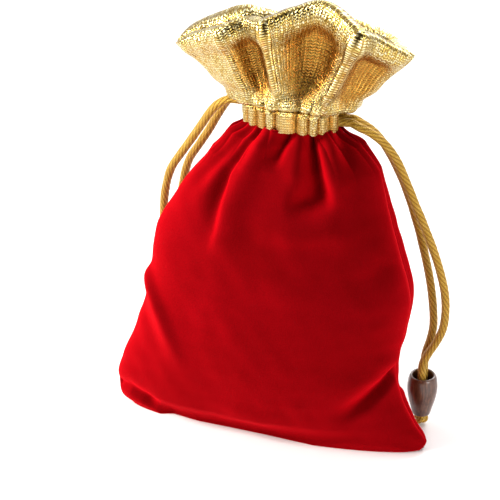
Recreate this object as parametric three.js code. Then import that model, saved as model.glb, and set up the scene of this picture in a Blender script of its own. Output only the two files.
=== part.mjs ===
// Drawstring gift pouch: a velvet bag with a gathered lame collar, two cords and two wooden beads.
// Millimetres, +Z up, the pouch stands on z = 0, its front faces -Y.
import * as THREE from 'three';

// ---- driving dimensions ----
const BAG_WIDTH = 109.2;        // across the bottom corners
const BAG_HEIGHT = 114.3;       // floor to the top edge of the velvet
const BAG_DEPTH = 38;           // front to back where it is fullest
const BASE_DEPTH = 18;          // the fold that lies flat on the table
const VELVET_WALL = 1.2;        // velvet with its pile
const SEAM_THICKNESS = 0.6;     // turned-in edges between the panels
const SEAM_ALLOWANCE = 4;       // how far they reach into the bag

const NECK_WIDTH = 32.4;        // the drawn neck
const NECK_DEPTH = 19.6;
const NECK_X = 7.5;             // the neck leans this far to the right
const LAME_WALL = 0.7;          // one layer of gold lame
const RUFFLE_WALL = 1.6;        // the ruffle is folded over, so it is double
const RUFFLE_HEIGHT = 31.7;     // channel to the highest part of the rim
const RUFFLE_WIDTH = 74;        // left tip to right tip
const RUFFLE_DEPTH = 22;        // front ridge to back rim

const CORD_DIAMETER = 2.8;
const CORD_SIDES = 8;

const BEAD_LENGTH = 15.5;
const BEAD_RADIUS = 5.1;        // where it is widest
const BEAD_MOUTH_RADIUS = 4.4;
const BEAD_END_RADIUS = 3.1;
const BEAD_CAVITY_ROOM = 0.45;  // round the two strands that go into it
const BEAD_HOLE_RADIUS = 2.15;  // takes the bundle below them
const BEAD_CAVITY_DEPTH = 11.3; // deep enough for the strands' ends when the bead is slid up
const KNOT_RADIUS = 2.7;
const KNOT_HEIGHT = 3.4;

const GAP = 0.3;                // between pieces that touch

// ---- worked out from them ----
const SEAM_PLANE = SEAM_THICKNESS / 2 + GAP;
const TUNNEL_WIDTH = CORD_DIAMETER + 2 * GAP;
const CHANNEL_WALL = TUNNEL_WIDTH + 2 * LAME_WALL;
const CHANNEL_BOTTOM = BAG_HEIGHT + GAP;
const LOWER_CORD_Z = CHANNEL_BOTTOM + LAME_WALL + GAP + CORD_DIAMETER / 2;
const UPPER_CORD_Z = LOWER_CORD_Z + CORD_DIAMETER + GAP;
const CHANNEL_TOP = UPPER_CORD_Z + CORD_DIAMETER / 2 + GAP + LAME_WALL;
const STRAND_Y = (CORD_DIAMETER + GAP) / 2;
const WAIST_INSET = (CHANNEL_WALL - RUFFLE_WALL) / 2 + GAP;
const BEAD_CAVITY_RADIUS = STRAND_Y + CORD_DIAMETER / 2 + BEAD_CAVITY_ROOM;
const EXIT_REACH = 1;           // the run ends this far outside the channel
const KNOT_BOTTOM = GAP;
const BEAD_BOTTOM = KNOT_BOTTOM + KNOT_HEIGHT + GAP;
const BUNDLE_RADIUS = BEAD_HOLE_RADIUS - GAP;
const BEAD_TRAVEL = 6;          // straight cord above a bead, for it to slide up over
const BUNDLE_TOP = BEAD_BOTTOM + BEAD_LENGTH - BEAD_CAVITY_DEPTH + BEAD_TRAVEL + 0.8;

// The bag's outline: share of the height, left and right edges as shares of half the width,
// and depth as a share of half the depth.
const OUTLINE = [
  [0.000, -0.905, 0.975, 0.49],
  [0.026, -0.972, 1.000, 0.57],
  [0.078, -1.000, 0.940, 0.70],
  [0.156, -0.965, 0.860, 0.84],
  [0.260, -0.880, 0.810, 0.95],
  [0.380, -0.800, 0.850, 1.00],
  [0.500, -0.738, 0.880, 0.98],
  [0.640, -0.692, 0.802, 0.90],
  [0.762, -0.550, 0.730, 0.79],
  [0.883, -0.370, 0.665, 0.65],
  [0.952, -0.255, 0.550, 0.56],
];
const BAG_ROWS = OUTLINE.flatMap(([share], i) => [share, (share + (OUTLINE[i + 1]?.[0] ?? 1)) / 2]).concat(1);
const COLUMNS = 18;
const BASE_ROWS = 3;
const LENS = 1.2;               // above 1 the sides come to an edge, as sewn panels do

// The ruffle's rim, left tip to right tip: share of the width, of the depth, of the height.
const FRONT_RIM = [
  [-0.500, -0.010, 0.426], [-0.426, -0.173, 0.527], [-0.277, -0.390, 0.703], [-0.189, -0.164, 0.748],
  [-0.085, -0.477, 0.842], [0.020, -0.182, 0.931], [0.134, -0.055, 1.000], [0.307, -0.523, 0.905],
  [0.364, -0.250, 0.779], [0.500, -0.010, 0.558],
];
const BACK_RIM = [
  [-0.500, 0.010, 0.426], [-0.473, 0.273, 0.536], [-0.396, 0.386, 0.653], [-0.228, 0.295, 0.823],
  [-0.082, 0.432, 0.767], [0.034, 0.318, 0.836], [0.145, 0.432, 0.830], [0.250, 0.295, 0.785],
  [0.369, 0.341, 0.691], [0.500, 0.010, 0.558],
];
const FLARE = 0.82;             // below 1 the ruffle spreads out before it rises
const RUFFLE_ROWS = 8;
const COLLAR_COLUMNS = 36;
const CHANNEL_COLUMNS = 28;

// The free strands, from their exits down to the beads.
const RIGHT_FRONT_ROUTE = [
  [28.6, -2.0, 116.3], [32.6, -1.0, 114.2], [36.4, 1.0, 110.2], [39.8, 3.0, 104.4], [42.6, 4.6, 97.2],
  [46.2, 6.2, 87.2], [50.2, 7.8, 76.4], [54.0, 9.2, 64.6], [56.2, 10.2, 54.6], [56.6, 11.0, 46.6],
  [55.8, 11.8, 39.8], [53.4, 12.6, 33.4], [50.9, 13.15, 28.4],
];
const RIGHT_BACK_ROUTE = [
  [28.2, 2.2, 115.9], [31.3, 4.4, 112.8], [34.4, 6.6, 108.2], [37.6, 8.6, 101.6], [40.8, 10.2, 93.6],
  [43.6, 11.4, 85.0], [46.2, 12.4, 75.6], [48.6, 13.2, 65.6], [50.6, 13.8, 55.6], [51.8, 14.4, 46.0],
  [52.0, 15.2, 38.6], [51.0, 15.9, 32.6], [49.8, 16.3, 28.0],
];
const LEFT_FRONT_ROUTE = [
  [-13.6, -1.8, 119.8], [-17.0, -1.4, 117.6], [-20.2, -0.2, 113.6], [-23.2, 1.4, 108.8], [-27.2, 3.2, 102.4],
  [-31.7, 4.8, 95.4], [-35.8, 6.4, 88.6], [-38.6, 8.4, 79.8], [-40.4, 11.0, 69.8], [-41.2, 13.8, 59.8],
  [-41.2, 16.4, 49.8], [-40.6, 18.2, 40.2], [-39.6, 19.3, 32.0],
];
const LEFT_BACK_ROUTE = [
  [-13.4, 2.3, 119.2], [-16.2, 4.0, 115.8], [-19.2, 5.8, 110.8], [-22.8, 7.8, 104.2], [-27.0, 9.6, 97.2],
  [-31.2, 11.6, 90.2], [-34.2, 14.0, 81.2], [-36.2, 16.6, 71.2], [-37.4, 19.0, 61.2], [-38.0, 20.8, 51.2],
  [-38.2, 22.0, 41.2], [-38.1, 22.6, 31.6],
];
const RIGHT_BEAD = [49.4, 14.8];
const LEFT_BEAD = [-38.6, 21.1];

// ---- materials ----
const velvet = new THREE.MeshStandardMaterial({ color: 0xb00010, roughness: 0.95, metalness: 0 });
const lame = new THREE.MeshStandardMaterial({ color: 0xd9ad45, roughness: 0.35, metalness: 0.8 });
const cordGold = new THREE.MeshStandardMaterial({ color: 0xc69a3e, roughness: 0.6, metalness: 0.3 });
const wood = new THREE.MeshStandardMaterial({ color: 0x3c1712, roughness: 0.3, metalness: 0 });
const thread = new THREE.MeshStandardMaterial({ color: 0x7a0010, roughness: 0.9, metalness: 0 });

// ---- helpers ----
// A smooth value through a list of numbers, at 0..1 along it.
function through(values, at) {
  const last = values.length - 1;
  const place = Math.min(Math.max(at, 0), 1) * last;
  const i = Math.min(Math.floor(place), last - 1);
  const f = place - i;
  const a = values[Math.max(i - 1, 0)];
  const b = values[i];
  const c = values[i + 1];
  const d = values[Math.min(i + 2, last)];
  return b + 0.5 * f * (c - a + f * (2 * a - 5 * b + 4 * c - d + f * (3 * (b - c) + d - a)));
}

// One closed solid between two matching grids of points.
function between(outer, inner) {
  const rows = outer.length;
  const columns = outer[0].length;
  const points = [...outer.flat(), ...inner.flat()];
  const at = (layer, i, j) => layer * rows * columns + i * columns + j;
  const faces = [];
  const quad = (a, b, c, d) => faces.push(a, b, c, a, c, d);
  for (let i = 0; i < rows - 1; i++) {
    for (let j = 0; j < columns - 1; j++) {
      quad(at(0, i, j), at(0, i, j + 1), at(0, i + 1, j + 1), at(0, i + 1, j));
      quad(at(1, i, j), at(1, i + 1, j), at(1, i + 1, j + 1), at(1, i, j + 1));
    }
  }
  for (let j = 0; j < columns - 1; j++) {
    quad(at(0, 0, j), at(1, 0, j), at(1, 0, j + 1), at(0, 0, j + 1));
    quad(at(0, rows - 1, j), at(0, rows - 1, j + 1), at(1, rows - 1, j + 1), at(1, rows - 1, j));
  }
  for (let i = 0; i < rows - 1; i++) {
    quad(at(0, i, 0), at(0, i + 1, 0), at(1, i + 1, 0), at(1, i, 0));
    quad(at(0, i, columns - 1), at(1, i, columns - 1), at(1, i + 1, columns - 1), at(0, i + 1, columns - 1));
  }
  const geometry = new THREE.BufferGeometry();
  geometry.setAttribute('position', new THREE.Float32BufferAttribute(points.flatMap((p) => p.toArray()), 3));
  geometry.setIndex(faces);
  return outwards(geometry);
}

// Turns every face over if the solid is inside out.
function outwards(geometry) {
  const p = geometry.getAttribute('position');
  const index = geometry.getIndex().array;
  const [a, b, c] = [new THREE.Vector3(), new THREE.Vector3(), new THREE.Vector3()];
  let volume = 0;
  for (let i = 0; i < index.length; i += 3) {
    a.fromBufferAttribute(p, index[i]);
    b.fromBufferAttribute(p, index[i + 1]);
    c.fromBufferAttribute(p, index[i + 2]);
    volume += a.dot(b.cross(c));
  }
  if (volume > 0) return geometry;
  const turned = [];
  for (let i = 0; i < index.length; i += 3) turned.push(index[i], index[i + 2], index[i + 1]);
  geometry.setIndex(turned);
  return geometry;
}

function cordTube(points) {
  const path = new THREE.CatmullRomCurve3(points.map((p) => new THREE.Vector3(...p)), false, 'centripetal');
  const section = new THREE.Shape();
  for (let i = 0; i < CORD_SIDES; i++) {
    const turn = (i + 0.5) * 2 * Math.PI / CORD_SIDES;
    const [x, y] = [Math.cos(turn) * CORD_DIAMETER / 2, Math.sin(turn) * CORD_DIAMETER / 2];
    if (i === 0) section.moveTo(x, y);
    else section.lineTo(x, y);
  }
  const steps = Math.ceil(path.getLength() / (2 * CORD_DIAMETER)) + 6;
  return new THREE.ExtrudeGeometry(section, { steps, extrudePath: path });
}

// ---- the velvet bag ----
// Left edge, right edge and half depth of the bag at a share of its height.
function bagSection(share) {
  const heights = OUTLINE.map((row) => row[0]);
  const rows = [...OUTLINE, [1, 0, 0, 0]];
  const neck = [NECK_X - NECK_WIDTH / 2, NECK_X + NECK_WIDTH / 2, NECK_DEPTH / 2 - SEAM_PLANE];
  const column = (k, scale) => rows.map((row, i) => (i < OUTLINE.length ? row[k] * scale : neck[k - 1]));
  let i = heights.findIndex((h) => h > share) - 1;
  if (i < 0) i = share < 1 && share < heights.at(-1) ? 0 : heights.length - 1;
  const top = i === heights.length - 1 ? 1 : heights[i + 1];
  const at = (i + (share - heights[i]) / (top - heights[i])) / (rows.length - 1);
  return {
    left: through(column(1, BAG_WIDTH / 2), at),
    right: through(column(2, BAG_WIDTH / 2), at),
    depth: through(column(3, BAG_DEPTH / 2), at),
  };
}

// One row of points across a half section, from its left edge to its right edge.
function across(section, z, inset, side, columns, lens, flat = 1) {
  const middle = (section.left + section.right) / 2;
  const half = (section.right - section.left) / 2 - inset;
  const row = [];
  for (let j = 0; j <= columns; j++) {
    const turn = Math.PI * j / columns;
    const depth = (section.depth - inset) * Math.sin(turn) ** lens * flat;
    row.push(new THREE.Vector3(middle - half * Math.cos(turn), side * (SEAM_PLANE + depth), z));
  }
  return row;
}

function velvetPanel(side) {
  const face = (inset) => {
    const rows = [];
    for (const share of BAG_ROWS.toReversed()) {
      const z = Math.max(share * BAG_HEIGHT, inset);
      rows.push(across(bagSection(share), z, inset, side, COLUMNS, 1 + (LENS - 1) * (1 - share)));
    }
    const floor = { ...bagSection(0), depth: BASE_DEPTH / 2 - SEAM_PLANE };
    for (let i = 1; i <= BASE_ROWS; i++) {
      rows.push(across(floor, inset, inset, side, COLUMNS, LENS, 1 - i / BASE_ROWS));
    }
    return rows;
  };
  return between(face(0), face(VELVET_WALL));
}

// The turned-in edges of both panels, sewn together, along one side of the bag.
function sideSeam(hand) {
  const rows = [[], []];
  const low = (SEAM_ALLOWANCE + 2 * GAP) / BAG_HEIGHT;
  for (const share of [low, ...BAG_ROWS.filter((row) => row > low + 0.01)]) {
    const section = bagSection(share);
    const edge = (hand < 0 ? section.left : section.right) - hand * GAP;
    for (const [k, y] of [[0, -1], [1, 1]]) {
      rows[k].push([edge, edge - hand * SEAM_ALLOWANCE].map((x) => (
        new THREE.Vector3(x, y * SEAM_THICKNESS / 2, share * BAG_HEIGHT))));
    }
  }
  return between(rows[0], rows[1]);
}

function bottomSeam() {
  const { left, right } = bagSection(0);
  const strip = new THREE.BoxGeometry(right - left - 2 * GAP, SEAM_THICKNESS, SEAM_ALLOWANCE);
  return strip.translate((left + right) / 2, 0, GAP + SEAM_ALLOWANCE / 2);
}

// ---- the gold collar ----
const NECK = {
  left: NECK_X - NECK_WIDTH / 2,
  right: NECK_X + NECK_WIDTH / 2,
  depth: NECK_DEPTH / 2 - GAP / 2,
};

// A row of points round half the neck, from seam to seam; past is how far it runs over each end.
function neckRow(z, inset, side, columns, past = 0) {
  const half = NECK_WIDTH / 2 - inset;
  const row = [];
  for (let j = 0; j <= columns; j++) {
    const turn = -past + (Math.PI + 2 * past) * j / columns;
    const y = GAP / 2 + (NECK.depth - inset) * Math.sin(turn);
    row.push(new THREE.Vector3(NECK_X - half * Math.cos(turn), side * y, z));
  }
  return row;
}

function rimPoint(rim, at) {
  const x = through(rim.map((p) => p[0]), at) * RUFFLE_WIDTH;
  const y = through(rim.map((p) => p[1]), at) * RUFFLE_DEPTH;
  const z = through(rim.map((p) => p[2]), at) * RUFFLE_HEIGHT;
  return new THREE.Vector3(NECK_X + x, y, CHANNEL_TOP + z);
}

// The outer layer: up round the channel, in at the gathering line, then out to the ruffle's rim.
// Its ends stop short of the side seams at the channel, which leaves the slots that the cords come out of.
function collar(side) {
  const rim = side < 0 ? FRONT_RIM : BACK_RIM;
  const slot = Math.asin((STRAND_Y + CORD_DIAMETER / 2 + GAP) / NECK.depth);
  const foot = neckRow(CHANNEL_TOP + LAME_WALL, WAIST_INSET, side, COLLAR_COLUMNS);
  const outer = [];
  for (let i = RUFFLE_ROWS; i >= 0; i--) {
    outer.push(foot.map((start, j) => {
      const top = rimPoint(rim, j / COLLAR_COLUMNS);
      const point = start.clone().lerp(top, (i / RUFFLE_ROWS) ** FLARE);
      point.z = start.z + (top.z - start.z) * (i / RUFFLE_ROWS) ** (1 / FLARE);
      const end = j === 0 || j === COLLAR_COLUMNS;
      point.y = side * (end ? GAP / 2 : Math.max(side * point.y, GAP / 2));
      return point;
    }));
  }
  for (const z of [CHANNEL_TOP - 1, (CHANNEL_TOP + CHANNEL_BOTTOM) / 2, CHANNEL_BOTTOM]) {
    outer.push(neckRow(z, 0, side, COLLAR_COLUMNS, -slot));
  }
  const last = outer.length - 1;
  const inner = outer.map((row, i) => row.map((point, j) => {
    const up = outer[Math.max(i - 1, 0)][j].clone().sub(outer[Math.min(i + 1, last)][j]);
    const along = row[Math.min(j + 1, COLLAR_COLUMNS)].clone().sub(row[Math.max(j - 1, 0)]);
    const normal = up.clone().cross(along).multiplyScalar(-side).normalize();
    const hand = j < COLLAR_COLUMNS / 2 ? -1 : 1;
    const edge = new THREE.Vector3(up.z, 0, -up.x).multiplyScalar(-hand).normalize();
    const nearEnd = 1 - Math.min(Math.min(j, COLLAR_COLUMNS - j) / 6, 1);
    const inwards = normal.lerp(edge, nearEnd).normalize();
    if (i > RUFFLE_ROWS) inwards.z = 0;
    const moved = point.clone().addScaledVector(inwards.normalize(), i > RUFFLE_ROWS ? LAME_WALL : RUFFLE_WALL);
    moved.y = side * Math.max(side * moved.y, GAP / 2);
    return moved;
  }));
  return between(outer, inner);
}

// The inner layer, which closes the channel on the inside of the neck.
function channelLining(side) {
  const face = (inset) => [CHANNEL_TOP, CHANNEL_BOTTOM].map((z) => neckRow(z, inset, side, CHANNEL_COLUMNS));
  return between(face(CHANNEL_WALL - LAME_WALL), face(CHANNEL_WALL));
}

// ---- the cords ----
// Half of a cord's run inside the channel: from the far seam round to its own exit.
function cordRun(hand, side, z) {
  const middle = LAME_WALL + TUNNEL_WIDTH / 2;
  const row = neckRow(z, middle, side, CHANNEL_COLUMNS);
  const inOrder = hand > 0 ? row : row.reverse();
  const leaves = inOrder.findIndex((p, i) => i > CHANNEL_COLUMNS / 2 && Math.abs(p.y) < 2.6 * STRAND_Y);
  const edge = NECK_X + hand * NECK_WIDTH / 2;
  return cordTube([
    ...inOrder.slice(0, leaves).map((p) => p.toArray()),
    [edge - hand * (TUNNEL_WIDTH - 2 * GAP), side * 1.5 * STRAND_Y, z],
    [edge - hand * LAME_WALL, side * STRAND_Y, z],
    [edge + hand * (EXIT_REACH - 1.5 * GAP), side * STRAND_Y, z],
  ]);
}

function cordStrand(hand, side, z, route, bead) {
  const edge = NECK_X + hand * (NECK_WIDTH / 2 + EXIT_REACH);
  const top = BEAD_BOTTOM + BEAD_LENGTH;
  const seat = [bead[0], bead[1] + side * STRAND_Y];
  return cordTube([
    [edge, side * STRAND_Y, z],
    [edge + hand * CORD_DIAMETER * 0.7, side * STRAND_Y, z],
    ...route,
    [...seat, top + BEAD_TRAVEL - 1.5],
    [...seat, top - 2],
    [...seat, BUNDLE_TOP + GAP],
  ]);
}

// ---- the beads and knots ----
function turned(profile, [x, y]) {
  const lathe = new THREE.LatheGeometry(profile.map((p) => new THREE.Vector2(...p)), 28);
  return lathe.rotateX(Math.PI / 2).translate(x, y, 0);
}

function bead(at) {
  const top = BEAD_BOTTOM + BEAD_LENGTH;
  const floor = top - BEAD_CAVITY_DEPTH;
  const lip = (BEAD_MOUTH_RADIUS + BEAD_CAVITY_RADIUS) / 2;
  const belly = (share) => BEAD_BOTTOM + share * BEAD_LENGTH;
  return turned([
    [BEAD_HOLE_RADIUS, BEAD_BOTTOM],
    [BEAD_END_RADIUS - 0.5, BEAD_BOTTOM],
    [BEAD_END_RADIUS, BEAD_BOTTOM + 0.6],
    [BEAD_END_RADIUS + 0.25 * (BEAD_RADIUS - BEAD_END_RADIUS), belly(0.18)],
    [BEAD_END_RADIUS + 0.72 * (BEAD_RADIUS - BEAD_END_RADIUS), belly(0.4)],
    [BEAD_RADIUS - 0.1, belly(0.6)],
    [BEAD_RADIUS, belly(0.7)],
    [BEAD_RADIUS - 0.12, belly(0.82)],
    [BEAD_MOUTH_RADIUS + 0.15, top - 0.6],
    [lip + 0.15, top],
    [BEAD_CAVITY_RADIUS, top - 0.4],
    [BEAD_CAVITY_RADIUS, floor + 1],
    [BEAD_HOLE_RADIUS, floor],
    [BEAD_HOLE_RADIUS, BEAD_BOTTOM],
  ], at);
}

// The strands pressed together inside the bead's hole, and the knot below it.
function knot(at) {
  const middle = KNOT_BOTTOM + KNOT_HEIGHT / 2;
  const profile = [];
  for (let i = 0; i <= 7; i++) {
    const turn = -Math.PI / 2 + i * Math.PI * 0.875 / 7;
    profile.push([KNOT_RADIUS * Math.cos(turn), middle + KNOT_HEIGHT / 2 * Math.sin(turn)]);
  }
  profile[0][0] = 0;
  return turned([
    ...profile.filter(([r], i) => i < 4 || r > BUNDLE_RADIUS),
    [BUNDLE_RADIUS, KNOT_BOTTOM + KNOT_HEIGHT - 0.2],
    [BUNDLE_RADIUS, BUNDLE_TOP],
    [0, BUNDLE_TOP],
  ], at);
}

// ---- the pouch ----
const pouch = new THREE.Group();
function add(name, geometry, material) {
  const mesh = new THREE.Mesh(geometry, material);
  mesh.name = name;
  pouch.add(mesh);
}

for (const [end, side] of [['front', -1], ['back', 1]]) {
  add(`velvet_${end}_panel`, velvetPanel(side), velvet);
  add(`gold_collar_${end}`, collar(side), lame);
  add(`channel_lining_${end}`, channelLining(side), lame);
  add(`right_cord_${end}_run`, cordRun(1, side, LOWER_CORD_Z), cordGold);
  add(`left_cord_${end}_run`, cordRun(-1, side, UPPER_CORD_Z), cordGold);
}
add('side_seam_left', sideSeam(-1), thread);
add('side_seam_right', sideSeam(1), thread);
add('bottom_seam', bottomSeam(), thread);

add('right_cord_front_strand', cordStrand(1, -1, LOWER_CORD_Z, RIGHT_FRONT_ROUTE, RIGHT_BEAD), cordGold);
add('right_cord_back_strand', cordStrand(1, 1, LOWER_CORD_Z, RIGHT_BACK_ROUTE, RIGHT_BEAD), cordGold);
add('left_cord_front_strand', cordStrand(-1, -1, UPPER_CORD_Z, LEFT_FRONT_ROUTE, LEFT_BEAD), cordGold);
add('left_cord_back_strand', cordStrand(-1, 1, UPPER_CORD_Z, LEFT_BACK_ROUTE, LEFT_BEAD), cordGold);
for (const [hand, at] of [['right', RIGHT_BEAD], ['left', LEFT_BEAD]]) {
  add(`${hand}_bead`, bead(at), wood);
  add(`${hand}_knot`, knot(at), cordGold);
}

export default pouch;
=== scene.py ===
"""The looks of a velvet drawstring pouch with a gold lame collar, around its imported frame."""
import math

import bpy
import numpy as np
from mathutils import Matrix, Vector


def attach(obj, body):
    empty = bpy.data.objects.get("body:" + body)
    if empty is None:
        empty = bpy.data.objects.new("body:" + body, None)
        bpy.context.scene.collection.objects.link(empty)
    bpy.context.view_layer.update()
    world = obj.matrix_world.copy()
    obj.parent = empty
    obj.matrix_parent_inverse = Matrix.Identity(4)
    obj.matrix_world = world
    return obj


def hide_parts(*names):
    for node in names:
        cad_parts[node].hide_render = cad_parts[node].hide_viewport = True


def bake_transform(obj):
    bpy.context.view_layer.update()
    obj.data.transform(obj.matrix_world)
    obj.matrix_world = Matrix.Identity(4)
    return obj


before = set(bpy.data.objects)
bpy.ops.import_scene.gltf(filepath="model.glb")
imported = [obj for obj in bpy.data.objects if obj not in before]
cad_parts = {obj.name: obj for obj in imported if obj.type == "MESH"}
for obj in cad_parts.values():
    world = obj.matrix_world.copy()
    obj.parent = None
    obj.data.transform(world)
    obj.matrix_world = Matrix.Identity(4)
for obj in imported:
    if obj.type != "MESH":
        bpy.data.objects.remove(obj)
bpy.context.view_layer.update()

MM = 0.001
ENDS = {"front": -1, "back": 1}         # towards -y and +y
WAYS = {"right": 1, "left": -1}         # towards +x and -x


# ---------------------------------------------------------------- camera
def set_camera():
    """Looks at the pouch from the front, a little to its right and from above."""
    azimuth, elevation, distance = math.radians(17), math.radians(29), 0.65
    target = np.array([-0.0069, 0.0, 0.066])
    back = np.array([
        math.sin(azimuth) * math.cos(elevation),
        -math.cos(azimuth) * math.cos(elevation),
        math.sin(elevation)])
    data = bpy.data.cameras.new("camera")
    data.sensor_width = 36
    data.lens = 143.5
    camera = bpy.data.objects.new("camera", data)
    camera.location = target + back * distance
    camera.rotation_euler = (math.pi / 2 - elevation, 0, azimuth)
    bpy.context.collection.objects.link(camera)
    bpy.context.scene.camera = camera


set_camera()


# ---------------------------------------------------------------- small helpers
def through(values, at):
    """A smooth value through evenly spaced values, at 0..1 along them."""
    values = np.asarray(values, float)
    last = len(values) - 1
    place = np.clip(np.asarray(at, float), 0, 1) * last
    i = np.minimum(place.astype(int), last - 1)
    f = place - i
    if values.ndim > 1:
        f = f[..., None]
    a, b = values[np.maximum(i - 1, 0)], values[i]
    c, d = values[i + 1], values[np.minimum(i + 2, last)]
    return b + 0.5 * f * (c - a + f * (2 * a - 5 * b + 4 * c - d + f * (3 * (b - c) + d - a)))


def smooth(low, high, x):
    """0 before low, 1 after high, with a soft step between."""
    t = np.clip((np.asarray(x, float) - low) / (high - low), 0, 1)
    return t * t * (3 - 2 * t)


def unit(v):
    return v / np.maximum(np.linalg.norm(v, axis=-1, keepdims=True), 1e-9)


def grid_normals(points):
    """Normals of a grid of points, row by row."""
    down = np.gradient(points, axis=0)
    across = np.gradient(points, axis=1)
    return unit(np.cross(down, across))


def facing(points, side, row, column):
    """Normals of a grid, turned so that they leave the middle plane at one of its places."""
    normals = grid_normals(points)
    return normals * np.sign(normals[row, column, 1] * side)


def distances(line):
    """How far along a line each of its points is."""
    return np.concatenate([[0], np.cumsum(np.linalg.norm(np.diff(line, axis=0), axis=1))])


def keep_side(points, side, least):
    """Moves points that have crossed the middle plane back to their own side of it."""
    points[..., 1] = side * np.maximum(side * points[..., 1], least)


def ripple(phase, seed, n=7):
    """A soft uneven wave along a phase in turns, from -1 to 1, the same each run."""
    rng = np.random.default_rng(seed)
    total = np.zeros_like(phase)
    for k in range(n):
        total += rng.uniform(0.4, 1) * np.sin(2 * np.pi * (phase * rng.uniform(0.4, 1.7) + rng.uniform()))
    return total / n ** 0.5 / 1.1


def lumps(x, y, seed, scale, n=24):
    """Soft uneven bumps over a plane, from about -1 to 1, the same each run."""
    rng = np.random.default_rng(seed)
    total = np.zeros(np.broadcast(x, y).shape)
    for _ in range(n):
        turn = rng.uniform(0, 2 * np.pi)
        rate = rng.uniform(0.5, 1.6) / scale
        total += np.sin(2 * np.pi * rate * (x * np.cos(turn) + y * np.sin(turn)) + rng.uniform(0, 2 * np.pi))
    return total / n ** 0.5 / 1.2


def mesh_piece(name, points, faces, uv, material):
    """A smooth mesh from points in millimetres, with one uv for each point."""
    mesh = bpy.data.meshes.new(name)
    mesh.from_pydata((np.asarray(points) * MM).tolist(), [], [list(map(int, f)) for f in faces])
    if uv is not None:
        layer = mesh.uv_layers.new(name="cloth")
        corners = np.empty(len(mesh.loops), int)
        mesh.loops.foreach_get("vertex_index", corners)
        layer.data.foreach_set("uv", np.asarray(uv, np.float32)[corners].ravel())
    mesh.polygons.foreach_set("use_smooth", [True] * len(mesh.polygons))
    mesh.materials.append(material)
    piece = bpy.data.objects.new(name, mesh)
    bpy.context.collection.objects.link(piece)
    return piece


def quads(rows, columns, start=0, wrap=False):
    """Faces of a grid of points; wrap joins each row's end to its start."""
    i, j = np.meshgrid(np.arange(rows - 1), np.arange(columns if wrap else columns - 1), indexing="ij")
    k = (j + 1) % columns
    a = start + i * columns
    return np.stack([a + j, a + k, a + columns + k, a + columns + j], -1).reshape(-1, 4)


def outward(points, faces):
    """The faces, turned over if the closed shape is inside out."""
    faces = np.asarray(faces)
    a, b, c, d = (points[faces[:, k]] for k in range(4))
    volume = (a * np.cross(b, c)).sum() + (a * np.cross(c, d)).sum()
    return faces if volume > 0 else faces[:, ::-1]


def closed_cloth(name, outer, inner, uv, material):
    """One closed piece of cloth between two matching grids."""
    rows, columns = outer.shape[:2]
    points = np.concatenate([outer.reshape(-1, 3), inner.reshape(-1, 3)])
    n = rows * columns
    faces = [quads(rows, columns), quads(rows, columns, n)[:, ::-1]]
    top, bottom = np.arange(columns), (rows - 1) * columns + np.arange(columns)
    left, right = np.arange(rows) * columns, np.arange(rows) * columns + columns - 1
    for edge, turned in ((top, True), (bottom, False), (left, False), (right, True)):
        strip = np.stack([edge[:-1], edge[1:], edge[1:] + n, edge[:-1] + n], -1)
        faces.append(strip[:, ::-1] if turned else strip)
    faces = np.concatenate(faces)
    faces = outward(points, faces)
    return mesh_piece(name, points, faces, np.concatenate([uv.reshape(-1, 2)] * 2), material)


# ---------------------------------------------------------------- material kit
def new_material(name):
    material = bpy.data.materials.new(name)
    material.use_nodes = True
    tree = material.node_tree
    return material, tree, tree.nodes["Principled BSDF"]


def set_up(tree, made, values):
    """Each value goes to the node's input of that name, linked or set, or to its setting of that name."""
    for title, value in values.items():
        if title not in made.inputs:
            setattr(made, title, value)
        elif isinstance(value, bpy.types.NodeSocket):
            tree.links.new(value, made.inputs[title])
        else:
            made.inputs[title].default_value = value
    return made


def node(tree, kind, **values):
    return set_up(tree, tree.nodes.new(kind), values)


def math_node(tree, operation, *values):
    made = node(tree, "ShaderNodeMath", operation=operation)
    for socket, value in zip(made.inputs, values):
        if isinstance(value, bpy.types.NodeSocket):
            tree.links.new(value, socket)
        else:
            socket.default_value = value
    return made.outputs[0]


def mix_colour(tree, factor, a, b):
    made = node(tree, "ShaderNodeMix", data_type="RGBA")
    for socket, value in zip((made.inputs[0], made.inputs[6], made.inputs[7]), (factor, a, b)):
        if isinstance(value, tuple):
            socket.default_value = (*value, 1)
        else:
            tree.links.new(value, socket)
    return made.outputs[2]


def ramp(tree, value, stops):
    made = node(tree, "ShaderNodeValToRGB", Fac=value)
    elements = made.color_ramp.elements
    while len(elements) < len(stops):
        elements.new(0.5)
    for element, (position, colour) in zip(elements, stops):
        element.position = position
        element.color = (*colour, 1) if isinstance(colour, tuple) else (colour, colour, colour, 1)
    return made.outputs[0]


def noise(tree, vector, scale, detail=3.0, rough=0.55):
    """How light a soft noise is at a place."""
    made = node(tree, "ShaderNodeTexNoise", Vector=vector, Scale=scale, Detail=detail, Roughness=rough)
    return made.outputs["Fac"]


def bump(tree, height, distance, strength):
    return node(tree, "ShaderNodeBump", Height=height, Distance=distance, Strength=strength).outputs["Normal"]


def object_place(tree):
    return tree.nodes.new("ShaderNodeTexCoord").outputs["Object"]


def cloth_place(tree):
    return node(tree, "ShaderNodeUVMap", uv_map="cloth").outputs["UV"]


def stored(tree, name):
    """A value that the mesh carries at each of its points."""
    return node(tree, "ShaderNodeAttribute", attribute_name=name).outputs["Fac"]


def group(name, inputs, outputs):
    """An empty shader group with number inputs, one vector input, and its outputs."""
    tree = bpy.data.node_groups.new(name, "ShaderNodeTree")
    tree.interface.new_socket("Place", in_out="INPUT", socket_type="NodeSocketVector")
    for title, value in inputs.items():
        tree.interface.new_socket(title, in_out="INPUT", socket_type="NodeSocketFloat").default_value = value
    for title in outputs:
        tree.interface.new_socket(title, in_out="OUTPUT", socket_type="NodeSocketFloat")
    return tree, tree.nodes.new("NodeGroupInput").outputs, tree.nodes.new("NodeGroupOutput").inputs


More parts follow.
